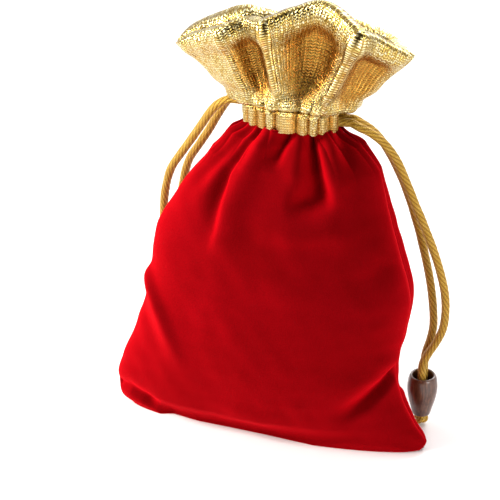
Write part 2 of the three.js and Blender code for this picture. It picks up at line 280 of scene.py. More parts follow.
def place_group(tree, made, vector, **values):
    return node(tree, "ShaderNodeGroup", node_tree=made, Place=vector, **values).outputs


def knit_group():
    """Rows of V-shaped knit stitches on a cloth's own coordinates, in millimetres."""
    tree, given, out = group("knit stitches", {"Width": 1.2, "Height": 0.9, "Slant": 1.0, "Wobble": 0.15},
                             ("Relief", "Tone"))

    def sum_of(a, b):
        return math_node(tree, "ADD", a, b)

    def product(a, b):
        return math_node(tree, "MULTIPLY", a, b)

    def less(a, b):
        return math_node(tree, "SUBTRACT", a, b)

    def part_of(a):
        return math_node(tree, "FRACT", a)

    split = node(tree, "ShaderNodeSeparateXYZ", Vector=given["Place"])
    stray = node(tree, "ShaderNodeTexNoise", Scale=0.9, Detail=2.0, Vector=given["Place"])
    drift = product(less(stray.outputs["Fac"], 0.5), given["Wobble"])
    x = sum_of(math_node(tree, "DIVIDE", split.outputs[0], given["Width"]), drift)
    fold = math_node(tree, "ABSOLUTE", less(part_of(x), 0.5))
    y = math_node(tree, "DIVIDE", split.outputs[1], given["Height"])
    y = sum_of(y, product(fold, product(given["Slant"], 2)))
    y = sum_of(y, product(drift, 3))
    wave = math_node(tree, "MULTIPLY_ADD", math_node(tree, "SINE", product(y, 2 * math.pi)), 0.5, 0.5)
    furrow = math_node(tree, "MINIMUM", product(fold, 7), 1)
    edge = math_node(tree, "MINIMUM", product(less(0.5, fold), 7), 1)
    tree.links.new(product(product(wave, furrow), edge), out["Relief"])
    cell = node(tree, "ShaderNodeCombineXYZ", X=math_node(tree, "FLOOR", x), Y=math_node(tree, "FLOOR", y),
                Z=math_node(tree, "GREATER_THAN", part_of(x), 0.5))
    white = node(tree, "ShaderNodeTexWhiteNoise", Vector=cell.outputs[0])
    tree.links.new(white.outputs["Value"], out["Tone"])
    return tree


def pile_group():
    """Short velvet pile: fine grain, brushed patches and stray specks, on object coordinates."""
    tree, given, out = group("velvet pile", {"Grain": 2600.0, "Patch": 38.0}, ("Grain", "Nap", "Specks"))
    place = given["Place"]
    grain = node(tree, "ShaderNodeTexNoise", Vector=place, Scale=given["Grain"], Detail=2.0, Roughness=0.7)
    nap = node(tree, "ShaderNodeTexNoise", Vector=place, Scale=given["Patch"], Detail=3.0, Roughness=0.5,
               Distortion=0.6)
    speck = node(tree, "ShaderNodeTexVoronoi", Vector=place, Scale=170.0)
    tree.links.new(grain.outputs["Fac"], out["Grain"])
    tree.links.new(nap.outputs["Fac"], out["Nap"])
    near = math_node(tree, "LESS_THAN", speck.outputs["Distance"], 0.055)
    split = node(tree, "ShaderNodeSeparateColor", Color=speck.outputs["Color"])
    rare = math_node(tree, "GREATER_THAN", split.outputs[0], 0.975)
    tree.links.new(math_node(tree, "MULTIPLY", near, rare), out["Specks"])
    return tree


def red_velvet(name, dark=1.0):
    material, tree, shader = new_material(name)
    pile = place_group(tree, PILE, object_place(tree))
    deep = (0.13 * dark, 0.0, 0.0008)
    lit = (0.18 * dark, 0.0001, 0.0018)
    colour = mix_colour(tree, ramp(tree, pile["Nap"], [(0.35, 0.0), (0.65, 1.0)]), deep, lit)
    grain = math_node(tree, "MULTIPLY", pile["Grain"], 0.35)
    colour = mix_colour(tree, grain, colour, (0.08 * dark, 0.0, 0.0005))
    # painted sheen: the base colour is mixed towards a paler red where the surface turns away from the view
    facing = node(tree, "ShaderNodeLayerWeight", Blend=0.45).outputs["Facing"]
    colour = mix_colour(tree, facing, colour, (0.52 * dark, 0.0002, 0.004))
    colour = mix_colour(tree, math_node(tree, "MULTIPLY", pile["Specks"], 0.55), colour, (0.75, 0.35, 0.32))
    set_up(tree, shader, {
        "Base Color": colour, "Roughness": 0.9, "Specular IOR Level": 0.02, "Sheen Weight": 0.5,
        "Sheen Roughness": 0.35, "Sheen Tint": (1.0, 0.012, 0.025, 1),
        "Normal": bump(tree, pile["Grain"], 0.00025, 0.5)})
    return material


def gold_lame(name):
    """Knitted lame: metallic V stitches whose tone changes from stitch to stitch, with painted shade in the
    stitch furrows, a painted orange reflection in the ruffle's pockets and painted shade in the channel's
    creases.
    """
    material, tree, shader = new_material(name)
    stitches = place_group(tree, KNIT, cloth_place(tree), Width=1.5, Height=0.8, Slant=0.62, Wobble=0.22)
    tone, relief = stitches["Tone"], stitches["Relief"]
    # the stored hollow is how deep each ruffle pocket and channel crease lies; below it drives painted
    # reflection and painted shade
    low = stored(tree, "hollow")
    patch = ramp(tree, noise(tree, object_place(tree), 70.0, 2.0), [(0.4, 0.0), (0.62, 1.0)])
    warm = mix_colour(tree, patch, (0.95, 0.76, 0.29), (0.93, 0.65, 0.18))
    yarn = mix_colour(tree, ramp(tree, tone, [(0.3, 0.0), (0.95, 1.0)]), warm, (1.0, 0.96, 0.60))
    yarn = mix_colour(tree, ramp(tree, tone, [(0.10, 0.75), (0.24, 0.0)]), yarn, (0.42, 0.27, 0.05))
    # painted reflection: the pockets' yarn turns orange, as if it mirrored the gold and red velvet around it
    painted_reflection_orange = mix_colour(tree, tone, (0.60, 0.17, 0.015), (0.95, 0.50, 0.09))
    yarn = mix_colour(tree, ramp(tree, low, [(0.08, 0.0), (0.5, 1.0)]), yarn, painted_reflection_orange)
    # painted shade: the stitches' furrows are darker brown
    colour = mix_colour(tree, relief, (0.28, 0.17, 0.035), yarn)
    # painted shade: near-black brown in the channel's deepest creases
    colour = mix_colour(tree, ramp(tree, low, [(0.55, 0.0), (0.95, 0.9)]), colour, (0.10, 0.035, 0.004))
    set_up(tree, shader, {
        "Base Color": colour, "Metallic": 1.0, "Roughness": math_node(tree, "MULTIPLY_ADD", tone, 0.14, 0.16),
        "Normal": bump(tree, relief, 0.00022, 0.55)})
    return material


def gold_cord_yarn(name):
    """Tubular knit cord: fine slanting ribs of satin yarn with a metallic strand."""
    material, tree, shader = new_material(name)
    stitches = place_group(tree, KNIT, cloth_place(tree), Width=1.1, Height=0.62, Slant=0.9, Wobble=0.1)
    patch = ramp(tree, noise(tree, object_place(tree), 160.0, 2.0), [(0.35, 0.0), (0.7, 1.0)])
    base = mix_colour(tree, patch, (0.62, 0.36, 0.035), (0.74, 0.47, 0.07))
    pale = mix_colour(tree, math_node(tree, "MULTIPLY", stitches["Tone"], 0.5), base, (0.95, 0.74, 0.24))
    # painted shade: darker brown in the stitches' furrows
    colour = mix_colour(tree, stitches["Relief"], (0.42, 0.22, 0.015), pale)
    # painted shade: near-black brown in the grooves between the cord's strands
    groove = ramp(tree, stored(tree, "groove"), [(0.15, 0.0), (0.75, 1.0)])
    set_up(tree, shader, {
        "Base Color": mix_colour(tree, groove, colour, (0.16, 0.055, 0.002)), "Metallic": 0.45,
        "Roughness": 0.4, "Specular IOR Level": 0.25, "Normal": bump(tree, stitches["Relief"], 0.0002, 0.7)})
    return material


def stained_wood(name):
    """Dark stained wood under varnish, with its grain along the bead."""
    material, tree, shader = new_material(name)
    stretched = node(tree, "ShaderNodeMapping", Vector=object_place(tree), Scale=(1.0, 1.0, 0.16)).outputs[0]
    grain = noise(tree, stretched, 1500.0, 4.0, 0.65)
    broad = noise(tree, stretched, 330.0, 2.0)
    colour = ramp(tree, grain, [
        (0.30, (0.030, 0.009, 0.004)), (0.52, (0.100, 0.034, 0.015)), (0.72, (0.210, 0.080, 0.036))])
    colour = mix_colour(tree, ramp(tree, broad, [(0.4, 0.0), (0.7, 0.6)]), colour, (0.055, 0.018, 0.009))
    set_up(tree, shader, {
        "Base Color": colour, "Roughness": math_node(tree, "MULTIPLY_ADD", grain, 0.2, 0.26),
        "Coat Weight": 0.45, "Coat Roughness": 0.16, "Normal": bump(tree, grain, 0.00015, 0.5)})
    return material


def sewing_thread(name, colour, paler):
    material, tree, shader = new_material(name)
    twist = noise(tree, object_place(tree), 2500.0, 2.0)
    set_up(tree, shader, {
        "Base Color": mix_colour(tree, twist, colour, paler), "Roughness": 0.6,
        "Normal": bump(tree, twist, 0.0001, 0.4)})
    return material


PILE = pile_group()
KNIT = knit_group()
VELVET = red_velvet("red velvet")
SEAM_VELVET = red_velvet("turned-in velvet edge", dark=0.6)
LAME = gold_lame("gold lame knit")
CORD = gold_cord_yarn("gold cord yarn")
WOOD = stained_wood("dark stained wood")
GOLD_THREAD = sewing_thread("gold thread", (0.50, 0.30, 0.06), (0.78, 0.56, 0.2))
RED_THREAD = sewing_thread("red thread", (0.22, 0.0, 0.008), (0.4, 0.01, 0.02))


# ---------------------------------------------------------------- rows of stitches
STITCH_SIZES = {"Spacing": 0.0024, "Stitch Length": 0.0017, "Thread": 0.0005, "Unevenness": 0.1}


def stitch_nodes():
    """Short threads along every line they are given, each a little out of true."""
    tree = bpy.data.node_groups.new("row of stitches", "GeometryNodeTree")
    tree.interface.new_socket("Lines", in_out="INPUT", socket_type="NodeSocketGeometry")
    for title, value in STITCH_SIZES.items():
        tree.interface.new_socket(title, in_out="INPUT", socket_type="NodeSocketFloat").default_value = value
    tree.interface.new_socket("Seed", in_out="INPUT", socket_type="NodeSocketInt").default_value = 1
    tree.interface.new_socket("Finish", in_out="INPUT", socket_type="NodeSocketMaterial")
    tree.interface.new_socket("Stitches", in_out="OUTPUT", socket_type="NodeSocketGeometry")
    given = tree.nodes.new("NodeGroupInput").outputs
    path = node(tree, "GeometryNodeMeshToCurve", Mesh=given["Lines"])
    places = node(tree, "GeometryNodeCurveToPoints", mode="LENGTH", Curve=path.outputs[0],
                  Length=given["Spacing"])
    thread, length = (math_node(tree, "MULTIPLY", given[title], 0.5) for title in ("Thread", "Stitch Length"))
    size = node(tree, "ShaderNodeCombineXYZ", X=thread, Y=thread, Z=length)
    ball = node(tree, "GeometryNodeMeshUVSphere", Segments=8, Rings=5, Radius=1.0)
    stitch = node(tree, "GeometryNodeTransform", Geometry=ball.outputs["Mesh"], Scale=size.outputs[0])
    laid = node(tree, "GeometryNodeInstanceOnPoints", Points=places.outputs["Points"],
                Instance=stitch.outputs[0], Rotation=places.outputs["Rotation"])
    stray = node(tree, "FunctionNodeRandomValue", data_type="FLOAT_VECTOR", Min=(-1, -1, -1),
                 Seed=given["Seed"])
    turn = node(tree, "ShaderNodeVectorMath", operation="SCALE", Vector=stray.outputs["Value"],
                Scale=given["Unevenness"])
    uneven = node(tree, "GeometryNodeRotateInstances", Instances=laid.outputs[0], Rotation=turn.outputs[0])
    real = node(tree, "GeometryNodeRealizeInstances", Geometry=uneven.outputs[0])
    coloured = node(tree, "GeometryNodeSetMaterial", Geometry=real.outputs[0], Material=given["Finish"])
    tree.links.new(coloured.outputs[0], tree.nodes.new("NodeGroupOutput").inputs["Stitches"])
    return tree


STITCHES = stitch_nodes()


def stitched(name, lines, **values):
    """Rows of stitches along lines in millimetres, as one plain mesh."""
    points, edges = [], []
    for line in lines:
        first = len(points)
        points.extend((np.asarray(line) * MM).tolist())
        edges.extend((k, k + 1) for k in range(first, len(points) - 1))
    mesh = bpy.data.meshes.new(f"{name}_lines")
    mesh.from_pydata(points, edges, [])
    piece = bpy.data.objects.new(name, mesh)
    bpy.context.collection.objects.link(piece)
    modifier = piece.modifiers.new("stitches", "NODES")
    modifier.node_group = STITCHES
    for socket in STITCHES.interface.items_tree:
        if socket.name in values:
            modifier[socket.identifier] = values[socket.name]
    bpy.context.view_layer.update()
    plain = bpy.data.meshes.new_from_object(piece.evaluated_get(bpy.context.evaluated_depsgraph_get()))
    piece.modifiers.remove(modifier)
    piece.data = plain
    plain.name = name
    plain.polygons.foreach_set("use_smooth", [True] * len(plain.polygons))
    return piece


# ---------------------------------------------------------------- cords
CORD_DIAMETER = 2.8
LINE_STEP = 0.3
RUN_SHARE = 0.9                 # how much of half the neck a cord goes round before it turns out
STRAND_Y = 1.55                 # each strand's centre from the middle between the two
EXIT_REACH = 1.0                # a free strand starts this far outside the neck
CORD_HEIGHT = {"right": 117.0, "left": 120.1}
BEADS = {"right": (49.4, 14.8), "left": (-38.6, 21.1)}
BEAD_BOTTOM, BEAD_TOP, CAVITY_FLOOR = 4.0, 19.5, 8.2
STRAIGHT_HEIGHTS = (24.0, 19.0, 15.3)       # where a strand runs straight down into its bead
# The free strands' ways, from just outside the neck to just above the beads.
ROUTES = {
    ("right", "front"): [
        [28.6, -2.0, 116.3], [32.6, -1.0, 114.2], [36.4, 1.0, 110.2], [39.8, 3.0, 104.4], [42.6, 4.6, 97.2],
        [46.2, 6.2, 87.2], [50.2, 7.8, 76.4], [54.0, 9.2, 64.6], [56.2, 10.2, 54.6], [56.6, 11.0, 46.6],
        [55.8, 11.8, 39.8], [53.4, 12.6, 33.4], [50.9, 13.15, 28.4]],
    ("right", "back"): [
        [28.2, 2.2, 115.9], [31.3, 4.4, 112.8], [34.4, 6.6, 108.2], [37.6, 8.6, 101.6], [40.8, 10.2, 93.6],
        [43.6, 11.4, 85.0], [46.2, 12.4, 75.6], [48.6, 13.2, 65.6], [50.6, 13.8, 55.6], [51.8, 14.4, 46.0],
        [52.0, 15.2, 38.6], [51.0, 15.9, 32.6], [49.8, 16.3, 28.0]],
    ("left", "front"): [
        [-13.6, -1.8, 119.8], [-17.0, -1.4, 117.6], [-20.2, -0.2, 113.6], [-23.2, 1.4, 108.8],
        [-27.2, 3.2, 102.4], [-31.7, 4.8, 95.4], [-35.8, 6.4, 88.6], [-38.6, 8.4, 79.8], [-40.4, 11.0, 69.8],
        [-41.2, 13.8, 59.8], [-41.2, 16.4, 49.8], [-40.6, 18.2, 40.2], [-39.6, 19.3, 32.0]],
    ("left", "back"): [
        [-13.4, 2.3, 119.2], [-16.2, 4.0, 115.8], [-19.2, 5.8, 110.8], [-22.8, 7.8, 104.2],
        [-27.0, 9.6, 97.2], [-31.2, 11.6, 90.2], [-34.2, 14.0, 81.2],
        [-36.2, 16.6, 71.2], [-37.4, 19.0, 61.2], [-38.0, 20.8, 51.2], [-38.2, 22.0, 41.2], [-38.1, 22.6, 31.6]],
}


def strand_points(hand, end):
    """A free strand's points: out of the channel, along its route, and straight down into its bead."""
    y = ENDS[end] * STRAND_Y
    edge = NECK_X + WAYS[hand] * (NECK_HALF + EXIT_REACH)
    further = edge + WAYS[hand] * 0.7 * CORD_DIAMETER
    bead_x, bead_y = BEADS[hand]
    return [
        [edge, y, CORD_HEIGHT[hand]], [further, y, CORD_HEIGHT[hand]],
        *ROUTES[hand, end],
        *([bead_x, bead_y + y, z] for z in STRAIGHT_HEIGHTS)]


def smooth_line(points, step):
    """A centripetal curve through the points, cut into even steps in millimetres."""
    points = np.asarray(points, float)
    ends = np.vstack([2 * points[0] - points[1], points, 2 * points[-1] - points[-2]])
    fine = []
    for a, b, c, d in zip(ends[:-3], ends[1:-2], ends[2:-1], ends[3:]):
        t0 = 0.0
        t1 = t0 + np.linalg.norm(b - a) ** 0.5
        t2 = t1 + np.linalg.norm(c - b) ** 0.5
        t3 = t2 + np.linalg.norm(d - c) ** 0.5
        t = np.linspace(t1, t2, 24, endpoint=False)[:, None]
        p = (t1 - t) / (t1 - t0) * a + (t - t0) / (t1 - t0) * b
        q = (t2 - t) / (t2 - t1) * b + (t - t1) / (t2 - t1) * c
        r = (t3 - t) / (t3 - t2) * c + (t - t2) / (t3 - t2) * d
        u = (t2 - t) / (t2 - t0) * p + (t - t0) / (t2 - t0) * q
        v = (t3 - t) / (t3 - t1) * q + (t - t1) / (t3 - t1) * r
        fine.append((t2 - t) / (t2 - t1) * u + (t - t1) / (t2 - t1) * v)
    fine = np.vstack([*fine, points[-1:]])
    along = distances(fine)
    even = np.linspace(0, along[-1], max(int(along[-1] / step), 4) + 1)
    return np.stack([np.interp(even, along, fine[:, k]) for k in range(3)], -1), even


def along_line(line):
    """Directions of a line, and two directions across it that don't twist."""
    tangent = unit(np.gradient(line, axis=0))
    side = np.zeros_like(line)
    side[0] = unit(np.cross(tangent[0], [0.13, 0.31, 0.94]))
    for i in range(1, len(line)):
        kept = side[i - 1] - tangent[i] * (side[i - 1] @ tangent[i])
        side[i] = unit(kept)
    return tangent, side, np.cross(tangent, side)


def knitted_tube(name, line, even, diameter, material, sides=42, ribs=7, pitch=9.0):
    """A closed tube whose surface has the slanting strands of a braided cord."""
    _, side, other = along_line(line)
    turn = np.arange(sides) / sides * 2 * np.pi
    place = ribs * turn[None, :] + even[:, None] * 2 * np.pi * ribs / pitch / 2
    slant = np.abs(np.sin(place / 2)) ** 0.6
    cross = np.cos(2 * turn[None, :] * ribs - even[:, None] * 2 * np.pi / 0.9)
    radius = diameter / 2 * (0.90 + 0.10 * slant + 0.012 * cross)
    radius = radius * (1 + 0.03 * ripple(even / 14, 5))[:, None]
    rings = (line[:, None] + radius[..., None] * (
        np.cos(turn)[None, :, None] * side[:, None] + np.sin(turn)[None, :, None] * other[:, None]))
    points = np.vstack([rings.reshape(-1, 3), line[:1], line[-1:]])
    n = len(line) * sides
    faces = [*quads(len(line), sides, wrap=True)]
    for j in range(sides):
        k = (j + 1) % sides
        faces.append([n, k, j])
        last = n - sides
        faces.append([n + 1, last + j, last + k])
    around = np.abs((turn / (2 * np.pi) * 2) % 2 - 1) * np.pi * diameter / 2
    uv = np.stack(np.broadcast_arrays(around[None], even[:, None]), -1)
    uv = np.vstack([uv.reshape(-1, 2), [[0, 0], [0, even[-1]]]])
    piece = mesh_piece(name, points, faces, uv, material)
    # how deep each point lies between the strands, which the cord's material paints as shade
    groove = np.concatenate([(1 - slant).ravel(), [1, 1]])
    piece.data.attributes.new("groove", "FLOAT", "POINT").data.foreach_set("value", groove)
    return piece


# ---------------------------------------------------------------- the velvet bag
BAG_HEIGHT = 115.3
HALF_WIDTH = 54.6
HALF_DEPTH = 19.0
SEAM_PLANE, COLLAR_SEAM = 0.03, 0.04      # how far each half stays from the middle plane
CLOTH = 1.0
# share of the height, left and right edge as shares of half the width, share of half the depth
OUTLINE = [
    [0.000, -0.905, 0.975, 0.49], [0.026, -0.972, 1.000, 0.57], [0.078, -1.000, 0.940, 0.70],
    [0.156, -0.965, 0.860, 0.84], [0.260, -0.880, 0.810, 0.95], [0.380, -0.800, 0.850, 1.00],
    [0.500, -0.738, 0.880, 0.98], [0.640, -0.692, 0.802, 0.90], [0.762, -0.550, 0.730, 0.79],
    [0.883, -0.370, 0.665, 0.65], [0.952, -0.255, 0.550, 0.56], [1.000, -0.160, 0.434, 0.485],
]


def fold(height, width, lean, fade, *line):
    """A fold's height (a valley is below 0), its width at both ends, how wide it is on the left of its
    way against the right, how its ends fade, and its line as x and z."""
    return {"line": line, "width": width, "height": height, "lean": lean, "fade": fade}


FRONT_FOLDS = [
    fold(-2.3, (1.6, 3.6), 1.0, (0, 0.5), (-4.5, 117), (-12, 107), (-21, 95.5), (-29, 84)),
    fold(-3.2, (1.4, 4.6), 0.45, (0, 0.55), (0.5, 117), (-6.5, 107.8), (-11.7, 98.6), (-13.6, 89.6),
         (-15, 80), (-19, 68)),
    fold(2.2, (2.2, 6.0), 1.2, (0, 0.4), (4.5, 117), (-1.5, 107), (-6, 98), (-9, 88), (-12, 76), (-15, 63)),
    fold(-2.6, (1.5, 3.4), 0.7, (0, 0.5), (9.0, 117), (8.2, 113), (5.6, 108), (3.0, 101)),
    fold(1.5, (2.0, 4.6), 1.0, (0, 0.5), (12.6, 117), (12.4, 110), (11.4, 101), (9, 92)),
    fold(-5.2, (1.5, 6.4), 0.45, (0, 0.4), (15.6, 117), (16.8, 110), (18.8, 101), (20.8, 93), (21.4, 88)),
    fold(1.9, (2.0, 5.0), 1.0, (0, 0.5), (19.6, 117), (22.0, 108), (24.5, 99), (26.5, 90)),
    fold(-1.5, (1.3, 3.4), 0.8, (0, 0.6), (21.8, 117), (26.4, 109), (30.5, 101)),
    fold(1.5, (5.0, 4.6), 1.0, (0.35, 0.35), (-2, 82), (10, 82.5), (24, 84.5), (36, 83)),
    fold(-2.4, (4.2, 4.2), 1.0, (0.4, 0.5), (8, 93), (16, 92.5), (25, 94)),
    fold(1.7, (2.6, 4.6), 0.7, (0.2, 0.5), (-44, 62), (-39, 52), (-33, 42), (-28, 30), (-26, 20)),
    fold(-0.7, (2.4, 4.6), 1.0, (0.1, 0.5), (-46, 51), (-43, 44), (-38, 36), (-34, 27)),
    fold(-3.0, (2.2, 4.2), 0.55, (0.05, 0.45), (47, 33), (41, 26.5), (34, 19), (26, 11)),
    fold(1.5, (3.6, 6.0), 1.0, (0.2, 0.5), (46, 40), (38, 33), (29, 26), (20, 19)),
    fold(-1.9, (1.6, 2.2), 1.6, (0.05, 0.3), (-56, 7), (-48, 8.4), (-42, 6.6), (-36, 2)),
    fold(-0.9, (3.4, 6.0), 1.0, (0.2, 0.6), (42, 75), (36, 68), (28, 62)),
    fold(0.8, (4.0, 4.6), 1.0, (0.4, 0.5), (-20, 14), (-4, 11), (14, 12)),
]
BACK_FOLDS = [
    fold(-2.4, (1.5, 4.0), 0.8, (0, 0.5), (-4, 117), (-11, 106), (-18, 94), (-24, 84)),
    fold(-3.0, (1.5, 5.0), 1.8, (0, 0.4), (1, 117), (-3, 106), (-7, 93), (-10, 78)),
    fold(-2.2, (1.5, 3.6), 0.8, (0, 0.5), (6, 117), (5, 106), (4, 95)),
    fold(-3.6, (1.4, 5.4), 0.5, (0, 0.4), (11, 117), (13, 105), (15, 90), (16, 72)),
    fold(-2.4, (1.4, 4.0), 1.0, (0, 0.5), (17, 117), (21, 107), (26, 97)),
    fold(-1.6, (1.3, 3.4), 1.0, (0, 0.5), (21, 117), (27, 108), (33, 99)),
    fold(1.4, (5.0, 6.0), 1.0, (0.4, 0.4), (-30, 72), (-14, 70), (2, 74)),
    fold(-1.6, (3.0, 6.0), 0.7, (0.2, 0.5), (44, 58), (36, 46), (27, 34)),
    fold(-2.2, (2.6, 5.0), 0.7, (0.1, 0.5), (-50, 30), (-40, 24), (-28, 14)),
    fold(-2.2, (2.4, 4.4), 0.7, (0.1, 0.5), (48, 26), (38, 18), (26, 10)),
]


def fold_height(x, z, line, width, height, lean, fade):
    """How far a fold lifts the cloth at x, z."""
    line = np.asarray(line, float)
    starts = distances(line)
    best = np.full(x.shape, 1e9)
    signed = np.zeros(x.shape)
    along = np.zeros(x.shape)
    for (ax, az), (bx, bz), length, start in zip(line[:-1], line[1:], np.diff(starts), starts):
        dx, dz = (bx - ax) / length, (bz - az) / length
        t = np.clip((x - ax) * dx + (z - az) * dz, 0, length)
        ex, ez = x - ax - t * dx, z - az - t * dz
        distance = np.hypot(ex, ez)
        nearer = distance < best
        best = np.where(nearer, distance, best)
        across = ex * -dz + ez * dx
        signed = np.where(nearer, np.sign(across) * distance, signed)
        along = np.where(nearer, start + t, along)
    share = along / starts[-1]
    wide = width[0] + (width[1] - width[0]) * share
    wide = np.where(signed > 0, wide * lean, wide)
    strength = np.ones_like(share)
    if fade[0] > 0:
        strength *= smooth(0, fade[0], share)
    if fade[1] > 0:
        strength *= 1 - smooth(1 - fade[1], 1, share)
    return height * strength * np.exp(-((signed / wide) ** 2))


def bag_section(share):
    """Left edge, right edge and half depth in millimetres at shares of the height."""
    table = np.asarray(OUTLINE)
    place = np.interp(share, table[:, 0], np.arange(len(table)) / (len(table) - 1))
    left, right, depth = through(table[:, 1:], place).T
    return left * HALF_WIDTH, right * HALF_WIDTH, depth * HALF_DEPTH


def hem_depth(x):
    """How far in front of the middle the bag meets the table."""
    return np.interp(x, [-54, -49, -44, -38, -33, -24, 0, 18, 30, 41, 49, 55],
                     [0.8, 4.4, 6.2, 6.4, 4.6, 6.4, 7.6, 9.2, 9.6, 8.2, 4.2, 0.6])


def bag_surface(side, rows=206, columns=220, base_rows=12):
    """The outer face of a panel, from its neck down to the table and in to the bottom seam."""
    share = np.linspace(1, 0, rows)
    left, right, depth = bag_section(share)
    turn = (np.linspace(0, 1, columns) * np.pi)[None]
    middle, half = ((left + right) / 2)[:, None], ((right - left) / 2)[:, None]
    # the sides are eased so that there are as many columns near the seams as in the middle
    turn = turn + 0.16 * np.sin(2 * turn)
    fuller = smooth(0.25, 0.5, share) * (1 - smooth(0.7, 0.95, share))
    lens = 1.0 + 0.12 * smooth(0.3, 0.0, share) - 0.12 * fuller
    body = np.maximum(np.sin(turn), 0) ** lens[:, None]
    x = middle - half * np.cos(turn)
    z = np.broadcast_to((share * BAG_HEIGHT)[:, None], x.shape).copy()
    deep = depth[:, None] * body
    low = smooth(9.0, 0.0, z)
    deep = deep * (1 - low) + np.minimum(hem_depth(x), deep + 0.4) * low
    groove = 0.9 * np.exp(-(np.minimum(turn, np.pi - turn) / 0.10) ** 2)
    x = x + groove * np.sign(np.cos(turn)) * smooth(2, 12, z)
    points = np.stack([x, side * (SEAM_PLANE + deep), z], -1)
    outer_way = facing(points, side, rows // 2, columns // 2)
    lift = np.zeros(x.shape)
    for fold in FRONT_FOLDS if side < 0 else BACK_FOLDS:
        lift += fold_height(x, z, **fold)
    seam_fade = smooth(0, 0.22, np.sin(turn) * np.ones_like(x)) * smooth(0, 6, z)
    lift = lift * seam_fade
    lift += 0.35 * lumps(x, z, 11 if side < 0 else 12, 34) * seam_fade
    lift += 0.10 * lumps(x, z, 13 if side < 0 else 14, 11) * seam_fade
    lift += 1.1 * (scallops(turn / np.pi, 31 if side < 0 else 41) - 0.55) * smooth(97, 113, z)
    lift -= 0.8 * smooth(109, 113.5, z)
    points = points + outer_way * lift[..., None]
    keep_side(points, side, SEAM_PLANE)
    shrink = np.linspace(1, 0, base_rows + 1)[1:, None]
    hem = points[-1]
    base = np.stack([
        np.broadcast_to(hem[None, :, 0], (base_rows, columns)),
        side * (SEAM_PLANE + (np.abs(hem[None, :, 1]) - SEAM_PLANE) * shrink),
        np.broadcast_to(0.08 + 0.1 * np.sin(np.pi * shrink), (base_rows, columns))], -1)
    points[..., 2] = np.maximum(points[..., 2], 0.05)
    return np.concatenate([points, base])


def velvet_panel(name, side):
    outer = bag_surface(side)
    inner = outer - facing(outer, side, 100, 110) * CLOTH
    keep_side(inner, side, SEAM_PLANE)
    inner[..., 2] = np.clip(inner[..., 2], CLOTH, BAG_HEIGHT)
    columns = outer.shape[1]
    down = distances(outer[:, columns // 2])
    u, v = np.meshgrid(np.linspace(0, 2 * HALF_WIDTH, columns), down)
    return closed_cloth(name, outer, inner, np.stack([u, v], -1), VELVET)


# ---------------------------------------------------------------- the gold collar
NECK_X = 7.5
NECK_HALF = 16.2
NECK_DEPTH = 9.65
CHANNEL_BOTTOM = 114.8
CHANNEL_TOP = 122.5
WAIST_INSET, RUN_INSET, LINING_INSET = 2.3, 2.4, 4.45     # how far inside the neck each one is
CLOTH_ROUND = 97.0
# The rim's middle line, from the left tip to the right one, in millimetres.
FRONT_RIM = [
    [-29.5, -0.6, 135.4], [-24.0, -4.4, 139.8], [-13.0, -8.8, 145.4], [-6.2, -5.8, 147.6],
    [1.2, -10.8, 149.8], [9.2, -6.2, 152.4], [17.8, -4.0, 154.2], [30.2, -12.2, 150.4], [34.8, -7.6, 146.6],
    [43.6, -0.6, 139.6],
]
BACK_RIM = [
    [-29.5, 0.6, 135.6], [-27.5, 6.0, 138.0], [-21.8, 7.0, 141.4], [-9.4, 4.6, 147.4], [1.4, 8.0, 145.0],
    [10.0, 5.6, 147.6], [18.2, 9.0, 147.4], [26.0, 4.6, 146.4], [34.8, 7.0, 142.8], [43.6, 0.6, 139.6],
]
# Each sharp ridge: its place along the rim and along the waist, 0 to 1, and its height.
FRONT_RIDGES = [(0.21, 0.26, 0.8), (0.405, 0.466, 1.6), (0.779, 0.669, 1.8)]
BACK_RIDGES = [(0.15, 0.2, 1.2), (0.40, 0.42, 1.4), (0.60, 0.58, 1.4), (0.83, 0.8, 1.2)]
# Each pocket between them: where along the rim, half its width, and its depth.
FRONT_POCKETS = [(0.30, 0.11, 3.2), (0.60, 0.17, 4.2), (0.885, 0.11, 3.4)]
BACK_POCKETS = [(0.27, 0.1, 2.4), (0.5, 0.09, 2.0), (0.71, 0.1, 2.4)]


def neck_ring(inset, s, side):
    """A point on half the neck, at s from the left seam, 0, to the right seam, 1."""
    turn = np.pi * s
    x = NECK_X - (NECK_HALF - inset) * np.cos(turn)
    y = side * (0.12 + (NECK_DEPTH - inset) * np.sin(turn))
    return np.stack(np.broadcast_arrays(x, y), -1)


def evenly(knots, s):
    """A smooth line through knots, at shares of its length."""
    length = distances(knots)
    return through(knots, np.interp(s, length / length[-1], np.linspace(0, 1, len(knots))))


def scallops(s, seed):
    """Small gathers along half the neck: round lumps, 0 to 1, with sharp creases between."""
    rng = np.random.default_rng(seed)
    sway = sum(rng.uniform(0.15, 0.5) * np.sin(2 * np.pi * (k * s + rng.uniform())) for k in (1, 2, 3, 5))
    size = 0.78 + 0.22 * np.sin(2 * np.pi * (3.1 * s + rng.uniform()))
    return size * np.abs(np.sin(np.pi * 9 * s + sway)) ** 0.7


